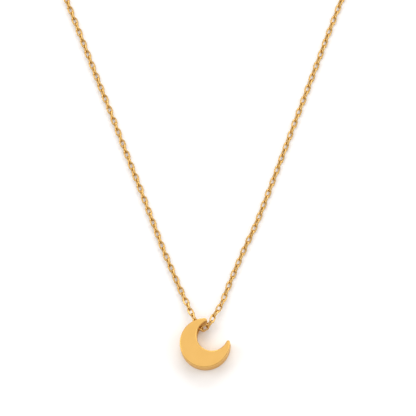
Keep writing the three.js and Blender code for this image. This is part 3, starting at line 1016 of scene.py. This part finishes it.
@dataclass
class Fastenings:
    """Jump rings, extender links and the drop at the end.

    Each is laid by a turn about its own length, then a turn to its heading, at the middle of its CAD
    solid.
    """

    ring_shape: LinkShape = LinkShape(
        3.58 * MM, 3.58 * MM, 0.58 * MM, bow_steps=30, sides=16, straight_steps=2)
    link_shape: LinkShape = LinkShape(
        4.18 * MM, 3.08 * MM, 0.58 * MM, bow_steps=22, sides=16, straight_steps=6)
    eye_shape: LinkShape = LinkShape(2.8 * MM, 2.8 * MM, 0.6 * MM, bow_steps=24, sides=16)
    cut: float = 0.05 * MM
    link_count: int = 12
    roll: float = math.radians(45)
    first_heading: float = math.radians(150)
    sway: float = math.radians(9)
    clasp_ring_heading: float = math.radians(-38)
    ball_radius: float = 1.5 * MM
    eye_to_ball: float = 2.5 * MM
    collar_radius: float = 0.52 * MM
    collar_length: float = 0.22 * MM
    collar_edge: float = 0.1 * MM
    ball_sides: int = 48

    def heading(self, index: int) -> float:
        """A link's heading: the first one's, plus the sway times the sine of its share of a turn."""
        return self.first_heading + self.sway * math.sin(index / self.link_count * TURN)

    def loop(self, node_name: str, body: str, shape: LinkShape, heading: float, roll: float) -> None:
        """Makes one cut ring or link in place of its CAD node.

        Args:
            node_name: the CAD node, whose middle is the ring's.
            body: the CAD body that it moves with.
            shape: the ring's shape.
            heading: where its length points.
            roll: its turn about its own length.
        """
        rings = cut_ring(shape, self.cut, steps=2 * shape.bow_steps + 2 * shape.straight_steps + 2)
        points = rolled_about_x(rings.reshape(-1, 3), roll)
        points = turned_about_z(points, heading) + middle_of(node_name)
        mesh = tube_mesh(f"{node_name}_wire", points.reshape(rings.shape))
        smooth_shade(mesh, 50)
        show_piece(mesh, RING_GOLD, body, node_name)

    def drop(self) -> None:
        """The ball with its collar and eye.

        The ball and collar are one profile turned about their own line: at each place the greater of
        the ball's radius, the root of r squared minus x squared, and the collar's.
        """
        heading = self.heading(self.link_count - 1)
        way = np.array([math.cos(heading), math.sin(heading), 0.0])
        low, high = box_corners("end_drop")
        r = self.ball_radius
        centre = np.array([low[0] + r, high[1] - r, r])
        turn = np.linspace(math.pi, 0, 40)[1:-1]
        x, radius = r * np.cos(turn), r * np.sin(turn)
        collar, front = self.collar_radius, -r - self.collar_length
        keep = (radius > collar) | (x > 0)
        meets_ball = -math.sqrt(r * r - collar * collar) - 0.02 * MM
        lead = np.array([front, front + self.collar_edge, meets_ball])
        lead_radius = np.array([collar - self.collar_edge, collar, collar])
        x, radius = np.concatenate([lead, x[keep]]), np.concatenate([lead_radius, radius[keep]])
        spin = np.arange(self.ball_sides) * TURN / self.ball_sides
        across = np.array([-way[1], way[0], 0.0])
        wheel = np.cos(spin)[:, None] * across + np.sin(spin)[:, None] * np.array([0.0, 0.0, 1.0])
        rings = centre + x[:, None, None] * way + radius[:, None, None] * wheel[None]
        ball = tube_mesh("end_drop_ball", rings)
        eye_rings = self.eye_shape.rings()
        points = turned_about_z(rolled_about_x(eye_rings.reshape(-1, 3), self.roll), heading)
        hung = (points + centre - way * self.eye_to_ball).reshape(eye_rings.shape)
        mesh = joined(ball, tube_mesh("end_drop_eye", hung, closed=True), "UNION")
        smooth_shade(mesh, 40)
        show_piece(mesh, RING_GOLD, "drop", "end_drop")

    def build(self) -> None:
        """Builds the rings, the links and the drop."""
        upright = math.radians(90)
        self.loop("clasp_jump_ring", "clasp_ring", self.ring_shape, self.clasp_ring_heading, upright)
        self.loop("end_jump_ring", "end_ring", self.ring_shape, self.first_heading, -self.roll)
        for i in range(self.link_count):
            roll = self.roll if i % 2 == 0 else -self.roll
            self.loop(f"extender_link_{i + 1}", f"link_{i + 1}", self.link_shape, self.heading(i), roll)
        self.drop()


# ---- Lobster clasp --------------------------------------------------------------------------------


@dataclass
class Clasp:
    """The lobster clasp: a cast body with an eye and a hook, a lever, its pin and its spring.

    Shapes are in the clasp's own plane in millimetres, with the eye at the origin and the hook
    along +x; they are placed at the end by the lever's pivot.
    """

    thickness_mm: float = 2.0
    edge_mm: float = 0.42
    eye_radius_mm: float = 1.2
    eye_wire_mm: float = 0.38
    hook_mm: tuple[float, float] = (6.3, 0.1)
    hook_out_mm: float = 2.6
    hook_in_mm: float = 1.45
    pivot_mm: tuple[float, float] = (3.0, -0.85)
    pin_radius_mm: float = 0.3
    pin_play_mm: float = 0.06
    lever_mm: float = 0.8
    lever_play_mm: float = 0.1
    lever_edge_mm: float = 0.14
    hub_mm: float = 0.7
    tip_angle: float = -102
    dome_mm: float = 0.12
    leaf_mm: float = 0.1
    leaf_floor_mm: float = 0.32
    heading: float = math.radians(-46)

    def __post_init__(self) -> None:
        """Finds the eye's place from the lever's pivot."""
        offset = turned_about_z(np.array([[*self.pivot_mm, 0.0]]) * MM, self.heading)[0]
        self.origin = np.array(hinge_of("clasp_lever_pivot")["pos_m"]) - offset

    def placed(self, points_mm: Array) -> Array:
        """Points turned to the clasp's heading and moved to its place.

        Args:
            points_mm: points in the clasp's own frame, in millimetres.

        Returns:
            The same array of points, in the necklace's frame.
        """
        turned = turned_about_z(points_mm.reshape(-1, 3) * MM, self.heading)
        return turned.reshape(points_mm.shape) + self.origin

    def on_hook(self, radius: float, start: float, end: float, count: int) -> Array:
        """Points along an arc round the hook's centre, angles in degrees."""
        return polar(radius, np.radians(np.linspace(start, end, count))) + np.array(self.hook_mm)

    def plate(self, name: str, outline: Array, thickness: float, edge: float) -> bpy.types.Mesh:
        """A plate whose edges are rounded by a quarter ellipse.

        The outline is moved inwards by edge times (1 - sine) while it goes up by the round's height
        times (1 - cosine), at both faces; outwards is the outline's direction turned a quarter back.

        Args:
            name: the mesh's name.
            outline: corners in the plane, anticlockwise.
            thickness: from face to face.
            edge: how far the rounding reaches in from the outline.

        Returns:
            The closed mesh.
        """
        steps = 6
        knots = np.vstack([outline[-2:], outline, outline[:3]])
        flat = smooth_route(knots, per_span=4)[8:-8]
        way = unit(np.roll(flat, -1, axis=0) - np.roll(flat, 1, axis=0))
        out = np.column_stack([way[:, 1], -way[:, 0]])
        quarter = np.linspace(0, math.pi / 2, steps)
        rise = min(edge, thickness * 0.4)
        inset = edge * (1 - np.sin(quarter))
        height = rise * (1 - np.cos(quarter)) - thickness / 2
        inset = np.concatenate([inset, inset[::-1]])
        height = np.concatenate([height, -height[::-1]])
        level = flat[None] - out[None] * inset[:, None, None]
        deep = np.broadcast_to(height[:, None, None], (*level.shape[:2], 1))
        return tube_mesh(name, self.placed(np.concatenate([level, deep], axis=2)))

    def post(self, name: str, x: float, y: float, profile: list[tuple[float, float]]) -> bpy.types.Mesh:
        """A post through the plane: a profile of radius and height turned about an upright line.

        Args:
            name: the mesh's name.
            x: the line's place in the plane.
            y: the line's place in the plane.
            profile: pairs of radius and height, from the lower end up.

        Returns:
            The closed mesh.
        """
        sides = 40
        spin = polar(1.0, np.arange(sides) * TURN / sides)
        radius = np.array([p[0] for p in profile])
        rings = radius[:, None, None] * spin[None] + np.array([x, y])
        height = np.broadcast_to(np.array([p[1] for p in profile])[:, None, None], (*rings.shape[:2], 1))
        return tube_mesh(name, self.placed(np.concatenate([rings, height], axis=2)))

    def body_outline(self) -> Array:
        """The body from above: neck, lower shield, inside of the hook, its tip, outside, upper shield.

        Returns:
            The corners, anticlockwise, in millimetres.
        """
        tip_angle = self.tip_angle
        tip_radius = (self.hook_out_mm - self.hook_in_mm) / 2
        tip = self.on_hook(self.hook_out_mm - tip_radius, tip_angle, tip_angle, 1)[0]
        round_tip = polar(tip_radius, np.radians(np.linspace(tip_angle + 180, tip_angle + 360, 9))) + tip
        return np.vstack([
            [(1.2, -0.75), (1.9, -1.35), (2.6, -1.85), (3.5, -1.95), (4.2, -1.45), (4.55, -0.6)],
            self.on_hook(self.hook_in_mm, 160, tip_angle, 34), round_tip[1:],
            self.on_hook(self.hook_out_mm, tip_angle, 125, 36)[1:],
            [(3.6, 1.95), (2.5, 1.6), (1.8, 1.1), (1.2, 0.75)],
        ])

    def lever_outline(self) -> Array:
        """The lever from above: round its pin, the thumb tab, then the gate that closes the hook.

        Returns:
            The corners, anticlockwise, in millimetres.
        """
        x, y = self.pivot_mm
        hub = polar(self.hub_mm, np.radians(np.linspace(30, 215, 10))) + np.array(self.pivot_mm)
        tab = [(x - 0.45, y - 1.25), (x - 0.1, y - 2.1), (x + 0.45, y - 2.2), (x + 0.75, y - 1.6),
               (x + 1.05, y - 1.3)]
        return np.vstack([
            hub, tab, self.on_hook(self.hook_out_mm - 0.2, -148, -124, 6),
            self.on_hook(self.hook_in_mm + 0.12, -124, -160, 8),
        ])

    def slot_cutter(self) -> bpy.types.Mesh:
        """The slot for the lever, open on the lever's side: four corners at two levels.

        Returns:
            The closed mesh that the slot takes out.
        """
        half = self.lever_mm / 2 + self.lever_play_mm
        right = self.hook_mm[0] - self.hook_in_mm + 0.6
        ring = np.array([(1.75, -3.5), (right, -3.5), (right, 0.45), (1.75, 0.45)])
        levels = np.array([-half, half])
        stacked = np.concatenate([
            np.broadcast_to(ring[None], (2, 4, 2)), np.broadcast_to(levels[:, None, None], (2, 4, 1)),
        ], axis=2)
        return tube_mesh("clasp_slot", self.placed(stacked))

    def body(self) -> None:
        """Casts the body: plate and eye joined, then the eye, the slot and the pin's hole cut."""
        plate = self.plate("clasp_body_cast", self.body_outline(), self.thickness_mm, self.edge_mm)
        eye_width = 2 * (self.eye_radius_mm + self.eye_wire_mm)
        ring = LinkShape(eye_width, eye_width, 2 * self.eye_wire_mm, bow_steps=24, sides=20)
        eye = tube_mesh("clasp_eye", self.placed(ring.rings()), closed=True)
        through = self.thickness_mm * 2
        inner = self.eye_radius_mm - self.eye_wire_mm
        hole = self.pin_radius_mm + self.pin_play_mm
        clear = self.post("clasp_eye_hole", 0, 0, [(inner, -through), (inner, through)])
        pin_hole = self.post("clasp_pin_hole", *self.pivot_mm, [(hole, -through), (hole, through)])
        mesh = joined(plate, eye, "UNION")
        for cutter in (clear, self.slot_cutter(), pin_hole):
            mesh = joined(mesh, cutter, "DIFFERENCE")
        smooth_shade(mesh, 35)
        show_piece(mesh, CAST_GOLD, "clasp", "clasp_body")

    def lever(self) -> None:
        """Casts the lever and drills it for its pin."""
        blank = self.plate("clasp_lever_cast", self.lever_outline(), self.lever_mm, self.lever_edge_mm)
        hole = self.pin_radius_mm + self.pin_play_mm
        deep = self.thickness_mm
        drill = self.post("lever_pin_hole", *self.pivot_mm, [(hole, -deep), (hole, deep)])
        mesh = joined(blank, drill, "DIFFERENCE")
        smooth_shade(mesh, 35)
        show_piece(mesh, CAST_GOLD, "lever", "clasp_lever")

    def pin(self) -> None:
        """The rivet: straight wire with domed ends, the dome's radius and height on a quarter turn."""
        half = self.thickness_mm / 2 - 0.05
        dome = np.linspace(0, math.pi / 2, 6)[:-1]
        top = [
            (self.pin_radius_mm * math.cos(a), half - self.dome_mm * (1 - math.sin(a))) for a in dome
        ]
        profile = [(r, -z) for r, z in top[::-1]] + top
        mesh = self.post("clasp_pin_rivet", *self.pivot_mm, profile)
        smooth_shade(mesh, 40)
        show_piece(mesh, PIN_STEEL, "clasp", "clasp_pin")

    def spring(self) -> None:
        """The leaf spring: a thin strip carried along a line that folds back on itself."""
        x = self.pivot_mm[0]
        floor = self.leaf_floor_mm
        line = np.array([
            (x - 0.85, floor), (x - 0.3, floor), (x + 0.35, floor), (x + 0.66, floor - 0.02),
            (x + 0.62, floor - 0.13), (x + 0.2, floor - 0.17), (x - 0.6, floor - 0.33),
        ])
        flat = smooth_route(line, per_span=6)
        way = unit(np.gradient(flat, axis=0))
        out = np.column_stack([way[:, 1], -way[:, 0]]) * self.leaf_mm / 2
        half = self.lever_mm / 2 - self.lever_play_mm
        corners = [(flat + out, -half), (flat - out, -half), (flat - out, half), (flat + out, half)]
        rings = np.stack([np.column_stack([p, np.full(len(p), z)]) for p, z in corners], axis=1)
        mesh = tube_mesh("clasp_spring_leaf", self.placed(rings))
        smooth_shade(mesh, 40)
        show_piece(mesh, SPRING_STEEL, "clasp", "clasp_spring")

    def build(self) -> None:
        """Builds the clasp's four pieces."""
        self.body()
        self.lever()
        self.pin()
        self.spring()


# ---- Camera, light and floor ----------------------------------------------------------------------


@dataclass
class Softbox:
    """A square panel lamp that faces the pendant, placed by azimuth, height angle and distance."""

    name: str
    azimuth: float
    elevation: float
    distance: float
    width: float
    depth: float
    radiance: float

    def build(self, target: Vector) -> None:
        """Hangs the lamp; its power is pi times its radiance times its area.

        Args:
            target: the point that it faces.
        """
        lamp = bpy.data.lights.new(self.name, "AREA")
        lamp.shape, lamp.size, lamp.size_y = "RECTANGLE", self.width, self.depth
        lamp.energy = math.pi * self.radiance * self.width * self.depth
        a, e = math.radians(self.azimuth), math.radians(self.elevation)
        way = Vector((math.sin(a) * math.cos(e), math.cos(a) * math.cos(e), math.sin(e)))
        hung = bpy.data.objects.new(self.name, lamp)
        hung.location = target + way * self.distance
        hung.rotation_mode = "QUATERNION"
        hung.rotation_quaternion = way.to_track_quat("Z", "Y")
        bpy.context.scene.collection.objects.link(hung)


@dataclass
class Studio:
    """The white paper, the softboxes and the camera."""

    lens_mm: float = 300.0
    distance: float = 0.6989
    tilt: float = math.radians(15)
    swing: float = math.radians(13)
    target_mm: tuple[float, float, float] = (2.581, 30.595, 0.0)
    paper_size: float = 6.0
    paper_lines: int = 9
    paper_gap: float = 0.01 * MM
    surround: str = "#d9d5d1"

    def camera(self) -> None:
        """A long lens that looks down, tilted towards the pendant and a little from the right."""
        data = bpy.data.cameras.new("camera")
        data.lens, data.sensor_width = self.lens_mm, 36.0
        data.clip_start, data.clip_end = 0.01, 20.0
        data.dof.use_dof = False
        back = Vector((
            math.sin(self.tilt) * math.sin(self.swing), -math.sin(self.tilt) * math.cos(self.swing),
            math.cos(self.tilt),
        ))
        right = (-back).cross(Vector((0, 1, 0))).normalized()
        up = right.cross(-back)
        eye = bpy.data.objects.new("camera", data)
        turn = Matrix((right, up, back)).transposed().to_4x4()
        eye.matrix_world = Matrix.Translation(Vector(self.target_mm) * MM + back * self.distance) @ turn
        bpy.context.scene.collection.objects.link(eye)
        bpy.context.scene.camera = eye

    def paper(self) -> None:
        """A wide sheet under everything, just below the plane that the necklace lies on."""
        half = self.paper_size / 2
        line = np.linspace(-half, half, self.paper_lines)
        x, y = np.meshgrid(line, line, indexing="ij")
        surface = Surface()
        sheet_points = np.stack([x, y, np.full_like(x, -self.paper_gap)], axis=2)
        surface.add(sheet_points, grid_quads(*x.shape, False, False))
        mesh = surface.mesh("paper_sweep")
        mesh.materials.append(PaperSweep("matt_white_paper", "").material())
        sheet = bpy.data.objects.new("paper_sweep", mesh)
        bpy.context.scene.collection.objects.link(sheet)
        if mesh.polygons[0].normal.z < 0:
            mesh.flip_normals()

    def lights(self) -> None:
        """A broad panel overhead, stronger boxes at the sides and back, and an even pale surround."""
        target = Vector(self.target_mm) * MM
        for box in (
            Softbox("panel_over", 0, 80, 0.95, 1.5, 1.5, 0.45),
            Softbox("box_left", -80, 40, 1.3, 0.7, 0.7, 2.2),
            Softbox("box_right", 75, 38, 1.3, 0.7, 0.7, 2.2),
            Softbox("box_back", 5, 36, 1.4, 1.1, 0.5, 3.7),
        ):
            box.build(target)
        world = bpy.data.worlds.new("surround")
        world.use_nodes = True
        world.node_tree.nodes["Background"].inputs["Color"].default_value = linear(self.surround)
        bpy.context.scene.world = world

    def build(self) -> None:
        """Sets the studio up and shows colours as they are."""
        self.camera()
        self.paper()
        self.lights()
        bpy.context.scene.view_settings.view_transform = "Standard"


# ---- Everything -----------------------------------------------------------------------------------


def main() -> None:
    """Builds the studio, then the necklace from the chain outwards."""
    logging.basicConfig(level=logging.INFO, format="%(name)s: %(message)s")
    Studio().build()
    crescent = Crescent()
    Chain(crescent).build()
    crescent.build()
    Fastenings().build()
    Clasp().build()
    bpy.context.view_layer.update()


if __name__ == "__main__":
    main()
